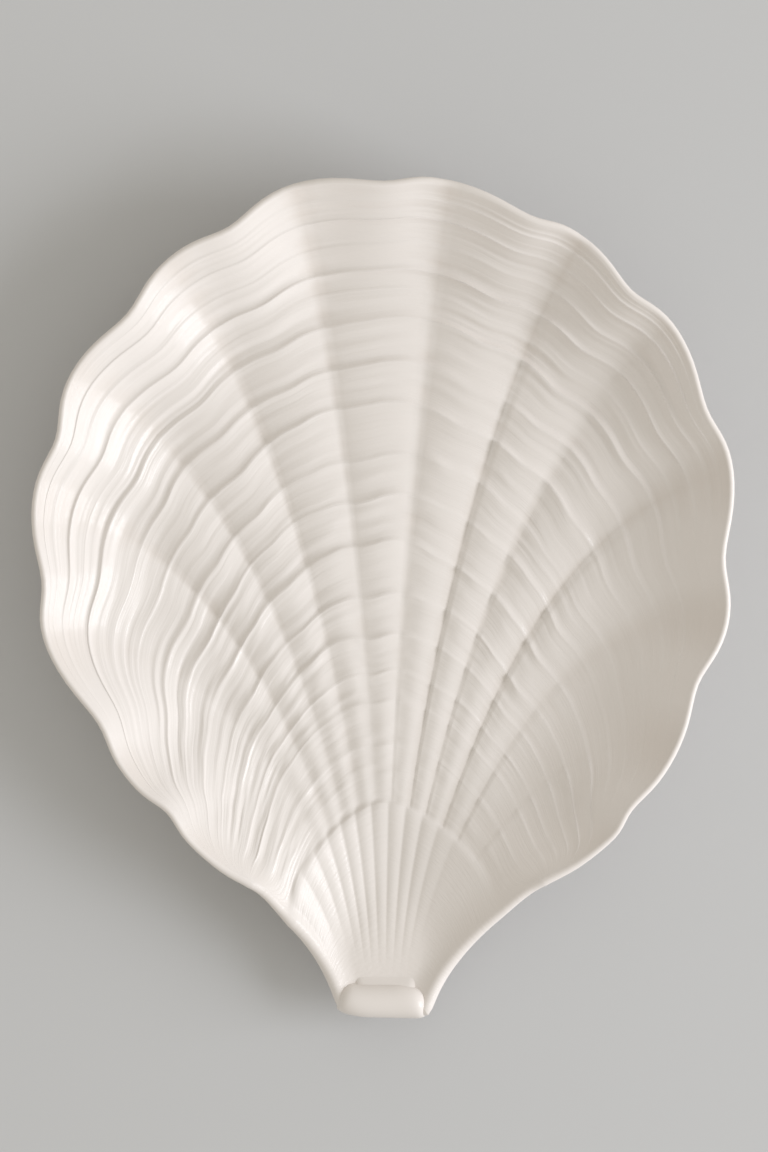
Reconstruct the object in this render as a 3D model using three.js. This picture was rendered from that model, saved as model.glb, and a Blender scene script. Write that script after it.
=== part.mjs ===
// Shell plate in glazed white earthenware: a dished, ribbed scallop on a round foot ring, with a rolled
// lip and a low ledge across its narrow hinge end.
// Millimetres, +Z up, +Y from the hinge to the crown of the rim, origin on the table under the middle.
import * as THREE from 'three';

// Rim seen from above, dents and lobe tips by turns: [degrees from the crown, reach] about the bowl's middle
const BOWL_MIDDLE_Y = 14.1;
const RIM_LEFT = [
  [158.5, 96.4], [149, 94.4], [141, 90.6], [132, 91.2], [122, 88.6], [107, 92.7], [96, 90.4],
  [83, 93.1], [72, 90.7], [61, 93.8], [48, 90.8], [37, 94.2], [26, 92.9], [14, 97.6],
];
const RIM_RIGHT = [
  [0, 95.4], [10.5, 97.1], [24, 94.6], [33, 96.4], [44, 93.3], [54, 95.6], [67, 92.1], [78, 93.8],
  [92, 89.7], [103, 92.8], [114, 90.3], [126, 94.5], [137, 95.4], [144, 98.3], [154.6, 98.6],
];
const LOBE_FULLNESS = 0.38;
const LOBE_POWER = 4;

// Bowl
const FOOT_HEIGHT = 5;
const FLOOR_WALL = 4;
const RIM_WALL = 1.8;
const RIM_RISE = 17;
const WALL_WIDTH = 34;

// Neck, between the bowl and the hinge end
const NECK_START_Y = -58;
const NECK_END_Y = -99;
const NECK_LIFT = 3;
const TAB_Y = -106.6;
const TAB_SLANT = 0.08;
const TAB_HALF_WIDTH = 10;
const TAB_RISE = 1.8;
const TAB_WALL_WIDTH = 5;
const TAB_EDGE_WALL = 3.8;
const TAB_FLARE = 18;

// Fan of fine ribs that ends in the strongest growth line; angles in degrees about the fan's root
const FAN_ROOT_Y = -105.3;
const FAN_REACH = 51.2;
const FAN_DROP_LEFT = 0.46;
const FAN_DROP_RIGHT = 0.32;
const FAN_CROWN = 5;
const FAN_RIB_ANGLE = 5.2;
const FAN_SKEW = 0.04;
const FAN_EDGE_ANGLE = 13.4;
const FAN_EDGE_POWER = 5;
const FAN_SHIFT = 0.25;
const FAN_STEP_LEFT = 1;
const FAN_STEP_RIGHT = 0.9;
const FAN_STEP_TURN = 1.5;
const FAN_STEP_FADE_LEFT = 6;
const FAN_STEP_FADE_RIGHT = 5;
const FAN_STEP_FADE = 2;
const FAN_STEP_POWER = 3;
const FAN_RIB_START = 0.12;
const FAN_RIB_LENGTH = 0.48;
const FAN_RIB_LATE = 0.25;
const FAN_RIB_LATE_FROM = 2;
const FAN_RIB_LATE_TO = 6;
const FAN_RIB_SIDE_SHARE = 0.65;
const FAN_SMOOTH_FROM = 1.5;
const FAN_SMOOTH_TO = 6;
const FAN_RIB_GAIN = 1.3;

// Ribs of the bowl: crisp valleys next to the axis, and broad waves at the rim
const RIBS_A_SIDE = 7;
const RIB_STEEPNESS = 0.28;
const RIB_RIGHT_GAIN = 0.35;
const RIB_CRISP_TO = 3.2;
const RIB_CRISP_FADE = 2;
const RIB_WAVE_SHARE = 0.4;
const RIB_WAVE_START = 0.55;
const RIB_WAVE_AXIS_SHARE = 0.3;
const RIB_WAVE_FULL = 3;
const BACK_RIB_NEAR = 0.5;
const SIDE_CROWDING = 0.35;
const CROWN_PULL = 0.6;
const SIDE_PULL = 1;
const SIDE_PULL_RIB = 3.5;
const NECK_EDGE_ANGLE = 68;
const NECK_EDGE_POWER = 8;

// Growth lines, as shares of the way from the fan to the rim on the axis, and how strong each one is
const GROWTH_LINES = [
  0, 0.05, 0.095, 0.162, 0.205, 0.262, 0.32, 0.395, 0.465, 0.525, 0.602, 0.668, 0.74, 0.785, 0.825,
  0.875, 0.925, 0.965, 1,
];
const GROWTH_STRENGTH = [
  0, 0.3, 0.6, 0.8, 0.7, 0.8, 1, 1.1, 1, 0.9, 1.1, 0.9, 1.2, 0.4, 1.1, 0.5, 0.9, 0.4, 0,
];
const GROWTH_HEIGHT = 0.5;
const GROWTH_FALL = 2;
const GROWTH_FALL_MOST = 0.4;
const GROWTH_FULL_PITCH = 5.5;

// Lines spread to the rim on either side, dip on the left of the axis, and run out into the rim near the neck
const LINE_SPREAD = 0.142;
const LINE_SPREAD_POWER = 4;
const LINE_SPREAD_RIB_POWER = 1.6;
const LINE_RUN_OUT = 2.2;
const LINE_RUN_OUT_START = 3.8;
const LINE_RUN_OUT_WIDTH = 2.7;
const LINE_RUN_OUT_POWER = 3;
const LINE_LEAST_PITCH = 0.15;
const LINE_END_RIB = 6;
const LINE_LEFT_SHIFT = 0.01;
const LINE_LEFT_WIDTH = 0.8;
const LINE_DIP = 0.012;
const LINE_DIP_PLACE = -0.3;
const LINE_DIP_WIDTH = 0.45;
const LINE_FADE_START = 4.8;
const LINE_FADE_WIDTH = 1.5;

// Foot ring
const FOOT_MIDDLE_Y = 10;
const FOOT_RADIUS = 52;
const FOOT_TREAD = 3;
const FOOT_TOP_WIDTH = 5.5;
const FOOT_EDGE_ROUND = 0.8;

// Rolled lip and ledge on the hinge end, bedded on the neck. Corners are quarter ellipses, left and right:
// [width, depth].
const BED_GAP = 0.3;
const CURL_GAP = 0.6;
const STRIP_SIDE_POWER = 8;
const LIP_MIDDLE_X = -0.6;
const LIP_HALF_LENGTH = 11.9;
const LIP_FRONT_Y = -101.3;
const LIP_END_Y = -110.6;
const LIP_END_SLANT = 0.02;
const LIP_HEIGHT = 3.6;
const LIP_EDGE = 0.8;
const LIP_FRONT_CORNERS = [[4.3, 5], [8.6, 4]];
const LIP_END_CORNERS = [[9.2, 2.6], [2.6, 1.6]];
const LEDGE_MIDDLE_X = 0.3;
const LEDGE_HALF_LENGTH = 8.1;
const LEDGE_FRONT_Y = -98.5;
const LEDGE_HEIGHT = 1.7;
const LEDGE_EDGE = 0.4;
const LEDGE_CORNERS = [[2, 1.8], [2, 1.8]];

// Facets
const COLUMNS_A_RIB = 4;
const FAN_ROWS = 6;
const EDGE_STEPS = 3;
const OUTLINE_STEPS_A_RIB = 8;
const OUTLINE_SIDE_STEPS = 12;
const FOOT_STEPS = 64;
const HINGE_COLUMNS = 18;
const HINGE_ROWS = 12;

const FLOOR_Z = FOOT_HEIGHT + FLOOR_WALL;
const RIM_SLOPE = (2 * RIM_RISE) / WALL_WIDTH;
const RIM_INSET = (RIM_WALL / 2) * (1 + RIM_SLOPE / Math.hypot(1, RIM_SLOPE));

const clamp = THREE.MathUtils.clamp;
const lerp = THREE.MathUtils.lerp;
const radians = THREE.MathUtils.degToRad;
const smooth = (share) => THREE.MathUtils.smoothstep(share, 0, 1);
const heading = (angle) => new THREE.Vector2(Math.sin(angle), Math.cos(angle));

const bowlMiddle = new THREE.Vector2(0, BOWL_MIDDLE_Y);
const rimAngles = [
  ...RIM_LEFT.map(([angle]) => -radians(angle)),
  ...RIM_RIGHT.map(([angle]) => radians(angle)),
];
const rimReaches = [...RIM_LEFT, ...RIM_RIGHT].map(([, reach]) => reach - RIM_INSET);
const rimMarks = rimAngles.map((angle, i) => heading(angle).multiplyScalar(rimReaches[i]).add(bowlMiddle));
const rimSpline = new THREE.SplineCurve(rimMarks);

// Places across the plate are counted in ribs, u, from -7 at the left neck to 7 at the right neck:
// a rib's back is at each whole u and a valley between two ribs half way.
// The rim runs through its marks, two to a rib, and swells out between them.
function rimPoint(u) {
  const share = clamp((u + RIBS_A_SIDE) / (2 * RIBS_A_SIDE), 0, 1);
  const point = rimSpline.getPoint(share);
  const swell = Math.sin(Math.PI * share * (rimMarks.length - 1)) ** 2;
  const outward = point.clone().sub(bowlMiddle).normalize();
  return point.addScaledVector(outward, LOBE_FULLNESS * swell);
}

// Rim at u, or past an end of it the rim turned about that end
function rimBeside(u) {
  const inside = clamp(u, -RIBS_A_SIDE, RIBS_A_SIDE);
  return rimPoint(inside).multiplyScalar(2).sub(rimPoint(2 * inside - u));
}

// Cubic from one point to another, leaving and arriving along the given vectors
function ease(from, to, leave, arrive, f) {
  const end = f * f * (3 - 2 * f);
  return from.clone().multiplyScalar(1 - end)
    .addScaledVector(to, end)
    .addScaledVector(leave, f * (1 - f) * (1 - f))
    .addScaledVector(arrive, f * f * (f - 1));
}

function fanAngle(u) {
  const edge = Math.sign(u) * FAN_EDGE_ANGLE * Math.abs(u / RIBS_A_SIDE) ** FAN_EDGE_POWER;
  return radians(FAN_RIB_ANGLE * u + edge + FAN_SKEW * u * u);
}

function fanEdge(u) {
  const angle = fanAngle(u);
  const turn = Math.hypot(THREE.MathUtils.radToDeg(angle), FAN_CROWN) - FAN_CROWN;
  const reach = FAN_REACH - (u < 0 ? FAN_DROP_LEFT : FAN_DROP_RIGHT) * turn;
  return heading(angle).multiplyScalar(reach).add(new THREE.Vector2(0, FAN_ROOT_Y));
}

function rimHeading(u) {
  const place = clamp((u + RIBS_A_SIDE) * 2, 0, rimAngles.length - 1);
  const i = Math.min(Math.floor(place), rimAngles.length - 2);
  const angle = lerp(rimAngles[i], rimAngles[i + 1], place - i);
  const neck = Math.abs(u / RIBS_A_SIDE) ** NECK_EDGE_POWER;
  return heading(lerp(angle, Math.sign(u) * radians(NECK_EDGE_ANGLE), neck));
}

// Hinge end of the body at a place across it
const tabY = (x) => TAB_Y - TAB_SLANT * x;

// Plan of the fan: f runs from the hinge end (0) to the strong growth line (1)
function fanPlan(u, f) {
  const x = (TAB_HALF_WIDTH * u) / RIBS_A_SIDE;
  const from = new THREE.Vector2(x, tabY(x));
  const to = fanEdge(u);
  const length = from.distanceTo(to);
  const leave = heading(radians(TAB_FLARE) * (u / RIBS_A_SIDE)).multiplyScalar(length);
  return ease(from, to, leave, heading(fanAngle(u)).multiplyScalar(length), f);
}

// Plan of the bowl: t runs from the strong growth line (0) to the rim (1) along ribs that bend outwards.
// They head for the rim with its lobes evened out, and the lobes come in by a power of the way along.
function bowlPlan(u, t) {
  const from = fanEdge(u);
  const rim = rimPoint(u);
  const beside = rimBeside(u - 0.5).add(rimBeside(u + 0.5));
  const even = rim.clone().multiplyScalar(2).add(beside).divideScalar(4);
  const length = from.distanceTo(even);
  const pull = lerp(CROWN_PULL, SIDE_PULL, Math.min(1, Math.abs(u) / SIDE_PULL_RIB));
  const along = t ** (1 - SIDE_CROWDING * (u / RIBS_A_SIDE) ** 2);
  const leave = heading(fanAngle(u)).multiplyScalar(length);
  const plan = ease(from, even, leave, rimHeading(u).multiplyScalar(pull * length), along);
  return plan.addScaledVector(rim.sub(even), along ** LOBE_POWER);
}

// Share t of the way to the rim of a growth line that lies at g on the axis.
// Past the last ribs, where the lines have died out, t goes back to g along the neck's edge.
function lineShare(u, g) {
  const left = 1 - Math.exp(-((Math.min(0, u) / LINE_LEFT_WIDTH) ** 2));
  const dip = Math.exp(-(((u - LINE_DIP_PLACE) / LINE_DIP_WIDTH) ** 2));
  const moved = g + (LINE_LEFT_SHIFT * left - LINE_DIP * dip) * 4 * g * (1 - g);
  const side = Math.max(0, Math.abs(u) - LINE_RUN_OUT_START) / LINE_RUN_OUT_WIDTH;
  const spread = LINE_SPREAD * moved ** LINE_SPREAD_POWER * Math.abs(u) ** LINE_SPREAD_RIB_POWER;
  const gather = spread + LINE_RUN_OUT * side ** LINE_RUN_OUT_POWER;
  const ended = smooth((Math.abs(u) - LINE_END_RIB) / (RIBS_A_SIDE - LINE_END_RIB));
  const power = 1 + gather * (1 - ended);
  return lerp(1 - (1 - moved) ** power, moved, LINE_LEAST_PITCH);
}

// Edge of the inner face, from the hinge up the left neck, round the rim and down the right neck
function edgeLine() {
  const share = Array.from({ length: OUTLINE_SIDE_STEPS }, (_, i) => i / OUTLINE_SIDE_STEPS);
  const side = (u) => [...share.map((f) => fanPlan(u, f)), ...share.map((t) => bowlPlan(u, t))];
  const steps = 2 * RIBS_A_SIDE * OUTLINE_STEPS_A_RIB;
  const rim = Array.from({ length: steps + 1 }, (_, i) => rimPoint((2 * i / steps - 1) * RIBS_A_SIDE));
  return [...side(-RIBS_A_SIDE), ...rim, ...side(RIBS_A_SIDE).reverse()];
}
const edge = edgeLine();

// Share of the way down the neck, from its start (0) to its end (1)
const neckShare = (y) => smooth((NECK_START_Y - y) / (NECK_START_Y - NECK_END_Y));

// Thickness of the wall: it thins from the floor to the edge, and less so on the neck
const wallAt = (y, near) => lerp(FLOOR_WALL, lerp(RIM_WALL, TAB_EDGE_WALL, neckShare(y)), near);

// Dished base of the inner face at a point of the plan: its height and the way that it faces.
// The wall rises as the square of how near the edge is, and keeps the edge's height outside it.
function baseAt(point) {
  let distance = Infinity;
  let nearest = null;
  let inward = null;
  for (let i = 0; i + 1 < edge.length; i += 1) {
    const run = edge[i + 1].clone().sub(edge[i]);
    const share = clamp(point.clone().sub(edge[i]).dot(run) / run.lengthSq(), 0, 1);
    const foot = edge[i].clone().addScaledVector(run, share);
    const gap = foot.distanceTo(point);
    if (gap < distance) {
      distance = gap;
      nearest = foot;
      inward = new THREE.Vector2(run.y, -run.x).normalize();
    }
  }
  const offset = point.clone().sub(nearest);
  if (offset.dot(inward) < 0) distance = 0;
  if (distance > RIM_WALL) inward = offset.normalize();
  const neck = neckShare(point.y);
  const width = lerp(WALL_WIDTH, TAB_WALL_WIDTH, neck);
  const rise = lerp(RIM_RISE, TAB_RISE, neck);
  const near = Math.max(0, 1 - distance / width);
  const slope = (2 * rise * near) / width;
  return {
    z: FLOOR_Z + NECK_LIFT * neck + rise * near * near,
    near,
    facing: new THREE.Vector3(inward.x * slope, inward.y * slope, 1).normalize(),
  };
}

// Place across a rib: -1 and 1 in the valleys beside it, 0 on its back
function acrossRib(u, valley) {
  const place = u - valley - 0.5;
  return 2 * (place - Math.round(place));
}

// Height of a rib as wide as the plan makes it at u: a parabola's quarter of its edge slope times its width
function ribHeight(plan, u, along) {
  const low = Math.max(-RIBS_A_SIDE, u - 0.5);
  const high = Math.min(RIBS_A_SIDE, u + 0.5);
  return (RIB_STEEPNESS / 4) * plan(low, along).distanceTo(plan(high, along)) / (high - low);
}

// Rib of the bowl at u: round-backed between sharp valleys near the axis, and a soft wave at the rim
function ribRelief(u, t) {
  const across = acrossRib(u, 0.5);
  const crisp = (0.5 - across * across) * (1 - smooth((Math.abs(u) - RIB_CRISP_TO) / RIB_CRISP_FADE));
  const wave = smooth((t - RIB_WAVE_START) / (1 - RIB_WAVE_START));
  const waveShare = wave * lerp(RIB_WAVE_AXIS_SHARE, 1, smooth(Math.abs(u) / RIB_WAVE_FULL));
  const shape = lerp(crisp, RIB_WAVE_SHARE * 0.5 * Math.cos(Math.PI * across), waveShare);
  return ribHeight(bowlPlan, u, t) * (1 + RIB_RIGHT_GAIN * smooth(u)) * shape;
}

// One row across the inner face and the outer face below it. The fan's ribs grow later at its sides.
function fanRow(f) {
  return (u) => {
    const side = THREE.MathUtils.smoothstep(Math.abs(u), FAN_RIB_LATE_FROM, FAN_RIB_LATE_TO);
    const grown = smooth((f - FAN_RIB_START - FAN_RIB_LATE * side) / FAN_RIB_LENGTH);
    const smoothed = THREE.MathUtils.smoothstep(u, FAN_SMOOTH_FROM, FAN_SMOOTH_TO);
    const shown = grown * lerp(1, FAN_RIB_SIDE_SHARE, side) * (1 - smoothed);
    const shape = 0.5 - acrossRib(u, FAN_SHIFT) ** 2;
    const rib = FAN_RIB_GAIN * ribHeight(fanPlan, u, f) * shape * shown;
    const outside = u < 0 ? -u - FAN_STEP_FADE_LEFT : u - FAN_STEP_FADE_RIGHT;
    const height = lerp(FAN_STEP_LEFT, FAN_STEP_RIGHT, smooth(u / FAN_STEP_TURN));
    const step = height * (1 - smooth(outside / FAN_STEP_FADE)) * f ** FAN_STEP_POWER;
    return { plan: fanPlan(u, f), relief: step, rib };
  };
}

function bowlRow(g, pitchShare, crest) {
  return (u) => {
    const t = lineShare(u, g);
    const before = bowlPlan(u, lineShare(u, Math.max(0, g - pitchShare / 2)));
    const pitch = before.distanceTo(bowlPlan(u, lineShare(u, Math.min(1, g + pitchShare / 2))));
    const runOut = 1 - smooth((Math.abs(u) - LINE_FADE_START) / LINE_FADE_WIDTH);
    const relief = GROWTH_HEIGHT * crest * smooth(pitch / GROWTH_FULL_PITCH) * runOut;
    return { plan: bowlPlan(u, t), relief, rib: ribRelief(u, t) };
  };
}

// Each growth line is a crest and, a little further out, the foot of its fall
function plateRows() {
  const axisLength = rimPoint(0).y - FAN_ROOT_Y - FAN_REACH;
  const fan = Array.from({ length: FAN_ROWS + 1 }, (_, i) => fanRow(i / FAN_ROWS));
  const bowl = [];
  for (let line = 0; line + 1 < GROWTH_LINES.length; line += 1) {
    const pitch = GROWTH_LINES[line + 1] - GROWTH_LINES[line];
    if (line > 0) bowl.push(bowlRow(GROWTH_LINES[line], pitch, GROWTH_STRENGTH[line]));
    const fall = Math.min(GROWTH_FALL / axisLength, GROWTH_FALL_MOST * pitch);
    bowl.push(bowlRow(GROWTH_LINES[line] + fall, pitch, 0));
  }
  return [...fan, ...bowl, bowlRow(1, 1 - GROWTH_LINES.at(-2), 0)];
}

// Closed solid between an upper and a lower grid of points, joined round the edge through the points that
// edgePoints gives for each place on it
function solidBetween(upper, lower, edgePoints) {
  const rows = upper.length;
  const columns = upper[0].length;
  const positions = [...upper.flat(), ...lower.flat()];
  const triangles = [];
  const top = (j, i) => j * columns + i;
  const under = (j, i) => rows * columns + top(j, i);
  for (let j = 0; j + 1 < rows; j += 1) {
    for (let i = 0; i + 1 < columns; i += 1) {
      const corners = [[j, i], [j, i + 1], [j + 1, i + 1], [j + 1, i]];
      const split = 2 * i < columns - 1 ? [[0, 1, 3], [1, 2, 3]] : [[0, 1, 2], [0, 2, 3]];
      for (const [a, b, c] of split) {
        triangles.push(top(...corners[a]), top(...corners[b]), top(...corners[c]));
        triangles.push(under(...corners[a]), under(...corners[c]), under(...corners[b]));
      }
    }
  }
  const ring = [];
  for (let i = 0; i + 1 < columns; i += 1) ring.push([0, i]);
  for (let j = 0; j + 1 < rows; j += 1) ring.push([j, columns - 1]);
  for (let i = columns - 1; i > 0; i -= 1) ring.push([rows - 1, i]);
  for (let j = rows - 1; j > 0; j -= 1) ring.push([j, 0]);
  const chains = ring.map(([j, i], k) => {
    const before = upper[ring.at(k - 1)[0]][ring.at(k - 1)[1]];
    const after = upper[ring[(k + 1) % ring.length][0]][ring[(k + 1) % ring.length][1]];
    const outward = new THREE.Vector2(after.y - before.y, before.x - after.x);
    const middle = edgePoints(upper[j][i], lower[j][i], outward);
    const indices = middle.map((point) => positions.push(point) - 1);
    return [top(j, i), ...indices, under(j, i)];
  });
  chains.forEach((chain, k) => {
    const next = chains[(k + 1) % chains.length];
    for (let m = 0; m + 1 < chain.length; m += 1) {
      triangles.push(chain[m + 1], next[m + 1], next[m]);
      triangles.push(chain[m + 1], next[m], chain[m]);
    }
  });
  const geometry = new THREE.BufferGeometry();
  const numbers = positions.flatMap((p) => [p.x, p.y, p.z]);
  geometry.setAttribute('position', new THREE.Float32BufferAttribute(numbers, 3));
  geometry.setIndex(triangles);
  geometry.computeVertexNormals();
  return geometry;
}

// Round edge: a half circle from the upper point to the lower one, bulging outwards
function roundEdge(upper, lower, outward) {
  const across = upper.clone().sub(lower).multiplyScalar(0.5);
  const middle = upper.clone().add(lower).multiplyScalar(0.5);
  const out = new THREE.Vector3(outward.x, outward.y, 0).projectOnPlane(across.clone().normalize());
  out.setLength(across.length());
  return Array.from({ length: EDGE_STEPS - 1 }, (_, i) => {
    const turn = (Math.PI * (i + 1)) / EDGE_STEPS;
    return middle.clone().addScaledVector(across, Math.cos(turn)).addScaledVector(out, Math.sin(turn));
  });
}

function shellBody() {
  const columns = 2 * RIBS_A_SIDE * COLUMNS_A_RIB;
  const upper = [];
  const lower = [];
  for (const row of plateRows()) {
    const places = Array.from({ length: columns + 1 }, (_, i) => row(i / COLUMNS_A_RIB - RIBS_A_SIDE));
    const bases = places.map(({ plan }) => baseAt(plan));
    upper.push(places.map(({ plan, relief, rib }, i) => (
      new THREE.Vector3(plan.x, plan.y, bases[i].z + relief + rib)
    )));
    lower.push(places.map(({ plan, rib }, i) => {
      const { z, near, facing } = bases[i];
      const shown = THREE.MathUtils.smoothstep(near, 0, BACK_RIB_NEAR);
      const under = new THREE.Vector3(plan.x, plan.y, z + rib * shown);
      return under.addScaledVector(facing, -wallAt(plan.y, near));
    }));
  }
  return solidBetween(upper, lower, roundEdge);
}

// Ring with a flat tread, narrower than its flat top under the floor
function footRing() {
  const treadIn = FOOT_RADIUS - FOOT_TREAD / 2;
  const treadOut = FOOT_RADIUS + FOOT_TREAD / 2;
  const profile = [
    [FOOT_RADIUS - FOOT_TOP_WIDTH / 2, FOOT_HEIGHT],
    [treadIn - FOOT_EDGE_ROUND / 2, FOOT_EDGE_ROUND],
    [treadIn, 0],
    [treadOut, 0],
    [treadOut + FOOT_EDGE_ROUND / 2, FOOT_EDGE_ROUND],
    [FOOT_RADIUS + FOOT_TOP_WIDTH / 2, FOOT_HEIGHT],
    [FOOT_RADIUS - FOOT_TOP_WIDTH / 2, FOOT_HEIGHT],
  ].map(([r, z]) => new THREE.Vector2(r, z));
  return new THREE.LatheGeometry(profile, FOOT_STEPS).rotateX(Math.PI / 2);
}

// Underside of a clay strip laid across the neck on a thin bed of slip. Past the hinge end it curls down
// round the body's rounded edge.
function stripSeat(x, y) {
  const bedY = Math.max(y, tabY(x));
  const { z, near } = baseAt(new THREE.Vector2(x, bedY));
  const edgeRadius = wallAt(bedY, near) / 2;
  const past = bedY - y;
  const curl = Math.sqrt(Math.max(0, 1 - (past / (edgeRadius + CURL_GAP)) ** 2));
  return z - edgeRadius + (edgeRadius + BED_GAP) * curl;
}

// Depth that a strip's corners take off its edge at x from its middle
function cornerCut(x, halfLength, corners) {
  const [width, depth] = corners[x < 0 ? 0 : 1];
  const share = clamp((Math.abs(x) - halfLength + width) / width, 0, 1);
  return depth * (1 - Math.sqrt(1 - share * share));
}

// Strip between two edges, endY and frontY at x from its middle, whose top rises from a thin edge to its back
// by the given share
function hingeStrip(middleX, halfLength, endY, frontY, height, edgeHeight, topShare) {
  const places = (steps) => Array.from({ length: steps + 1 }, (_, i) => -Math.cos((Math.PI * i) / steps));
  const columns = places(HINGE_COLUMNS);
  const upper = [];
  const lower = [];
  for (const along of places(HINGE_ROWS)) {
    const under = columns.map((across) => {
      const x = halfLength * across;
      const y = lerp(endY(x), frontY(x), (1 + along) / 2);
      return new THREE.Vector3(middleX + x, y, stripSeat(middleX + x, y));
    });
    lower.push(under);
    upper.push(under.map(({ x, y, z }, i) => {
      const back = stripSeat(middleX, Math.max(y, tabY(middleX))) + height;
      return new THREE.Vector3(x, y, lerp(z + edgeHeight, back, topShare(along, columns[i])));
    }));
  }
  return solidBetween(upper, lower, () => []);
}

// Pillow: level from side to side, and round from front to end
function hingeLip() {
  const pillow = (along, across) => Math.sqrt((1 - across ** STRIP_SIDE_POWER) * (1 - along ** 2));
  const endY = (x) => LIP_END_Y - LIP_END_SLANT * x + cornerCut(x, LIP_HALF_LENGTH, LIP_END_CORNERS);
  const frontY = (x) => LIP_FRONT_Y - cornerCut(x, LIP_HALF_LENGTH, LIP_FRONT_CORNERS);
  return hingeStrip(LIP_MIDDLE_X, LIP_HALF_LENGTH, endY, frontY, LIP_HEIGHT, LIP_EDGE, pillow);
}

// Ramp: falls softly from the lip to its front, and steeply at its sides
function hingeLedge() {
  const ramp = (along, across) => smooth((1 - along) / 2) * Math.sqrt(1 - across ** STRIP_SIDE_POWER);
  const endY = () => LIP_FRONT_Y + BED_GAP;
  const frontY = (x) => LEDGE_FRONT_Y - cornerCut(x, LEDGE_HALF_LENGTH, LEDGE_CORNERS);
  return hingeStrip(LEDGE_MIDDLE_X, LEDGE_HALF_LENGTH, endY, frontY, LEDGE_HEIGHT, LEDGE_EDGE, ramp);
}

const glaze = new THREE.MeshStandardMaterial({ color: 0xebe5da, roughness: 0.22, metalness: 0 });
const bareClay = new THREE.MeshStandardMaterial({ color: 0xdcd2bf, roughness: 0.75, metalness: 0 });

function piece(name, geometry, material) {
  const mesh = new THREE.Mesh(geometry, material);
  mesh.name = name;
  return mesh;
}

const plate = new THREE.Group();
plate.name = 'shell_plate';
plate.add(piece('shell_body', shellBody(), glaze));
plate.add(piece('hinge_lip', hingeLip(), glaze));
plate.add(piece('hinge_ledge', hingeLedge(), glaze));
const foot = piece('foot_ring', footRing(), bareClay);
foot.position.set(0, FOOT_MIDDLE_Y, 0);
plate.add(foot);

export default plate;
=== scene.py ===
"""Shell plate in cream-white glazed earthenware, seen from straight above.

The ribbed shell, the rolled lip and the ledge on its hinge end, and the foot ring under it are surfaces
worked out on grids. Lengths are in millimetres until a mesh is made, and +Y runs from the hinge end to the
crown of the rim.
"""
import math

import bpy
import numpy as np
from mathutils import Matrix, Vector


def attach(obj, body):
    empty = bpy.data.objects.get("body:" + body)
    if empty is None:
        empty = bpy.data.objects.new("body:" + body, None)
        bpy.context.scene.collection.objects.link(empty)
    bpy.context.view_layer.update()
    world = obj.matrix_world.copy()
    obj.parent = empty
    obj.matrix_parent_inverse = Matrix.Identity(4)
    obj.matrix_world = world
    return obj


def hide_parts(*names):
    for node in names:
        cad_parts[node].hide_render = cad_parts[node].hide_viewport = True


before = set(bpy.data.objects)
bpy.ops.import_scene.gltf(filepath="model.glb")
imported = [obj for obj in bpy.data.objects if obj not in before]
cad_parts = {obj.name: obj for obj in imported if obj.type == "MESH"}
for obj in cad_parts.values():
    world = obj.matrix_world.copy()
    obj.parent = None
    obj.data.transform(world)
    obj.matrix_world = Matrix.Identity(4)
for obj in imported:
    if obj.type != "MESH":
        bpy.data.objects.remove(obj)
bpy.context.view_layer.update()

MM = 0.001

# Rim seen from above, dents and lobe tips by turns: (degrees from the crown, reach) about the bowl's middle
BOWL_MIDDLE = np.array([0.0, 14.1])
RIM_LEFT = [
    (158.5, 96.4), (149, 94.4), (141, 90.6), (132, 91.2), (122, 88.6), (107, 92.7), (96, 90.4),
    (83, 93.1), (72, 90.7), (61, 93.8), (48, 90.8), (37, 94.2), (26, 92.9), (14, 97.6),
]
RIM_RIGHT = [
    (0, 95.4), (10.5, 97.1), (24, 94.6), (33, 96.4), (44, 93.3), (54, 95.6), (67, 92.1), (78, 93.8),
    (92, 89.7), (103, 92.8), (114, 90.3), (126, 94.5), (137, 95.4), (144, 98.3), (154.6, 98.6),
]
LOBE_FULLNESS = 0.38
LOBE_POWER = 4

# Bowl
FOOT_HEIGHT = 5
FLOOR_WALL = 4
RIM_WALL = 1.8
RIM_RISE = 17
WALL_WIDTH = 34
FLOOR_Z = FOOT_HEIGHT + FLOOR_WALL
RIM_SLOPE = 2 * RIM_RISE / WALL_WIDTH
RIM_INSET = RIM_WALL / 2 * (1 + RIM_SLOPE / math.hypot(1, RIM_SLOPE))

# Neck, between the bowl and the hinge end
NECK_START_Y = -58
NECK_LIFT = 3
NECK_END_Y = -99
TAB_Y = -106.6
TAB_SLANT = 0.08
TAB_HALF_WIDTH = 10
TAB_RISE = 1.8
TAB_WALL_WIDTH = 5
TAB_EDGE_WALL = 3.8
TAB_FLARE = 18

# Fan of fine ribs that ends in the strongest growth line; angles in degrees about the fan's root
FAN_ROOT = np.array([0.0, -105.3])
FAN_REACH = 51.2
FAN_DROP_LEFT = 0.46
FAN_DROP_RIGHT = 0.32
FAN_CROWN = 5
FAN_RIB_ANGLE = 5.2
FAN_SKEW = 0.04
FAN_EDGE_ANGLE = 13.4
FAN_EDGE_POWER = 5
FAN_SHIFT = 0.25
FAN_STEP_LEFT = 1
FAN_STEP_RIGHT = 0.9
FAN_STEP_TURN = 1.5
FAN_FALL = 1.2
FAN_STEP_FADE_LEFT = 6
FAN_STEP_FADE_RIGHT = 5
FAN_STEP_FADE = 2
FAN_RIB_SOFTNESS = 0.15
FAN_RIB_GAIN = 1.3
FAN_STEP_POWER = 3
FAN_RIB_START = 0.12
FAN_RIB_LENGTH = 0.48
FAN_RIB_LATE = 0.25
FAN_RIB_LATE_FROM = 2
FAN_RIB_LATE_TO = 6
FAN_RIB_SIDE_SHARE = 0.65
FAN_SMOOTH_FROM = 1.5
FAN_SMOOTH_TO = 6

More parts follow.
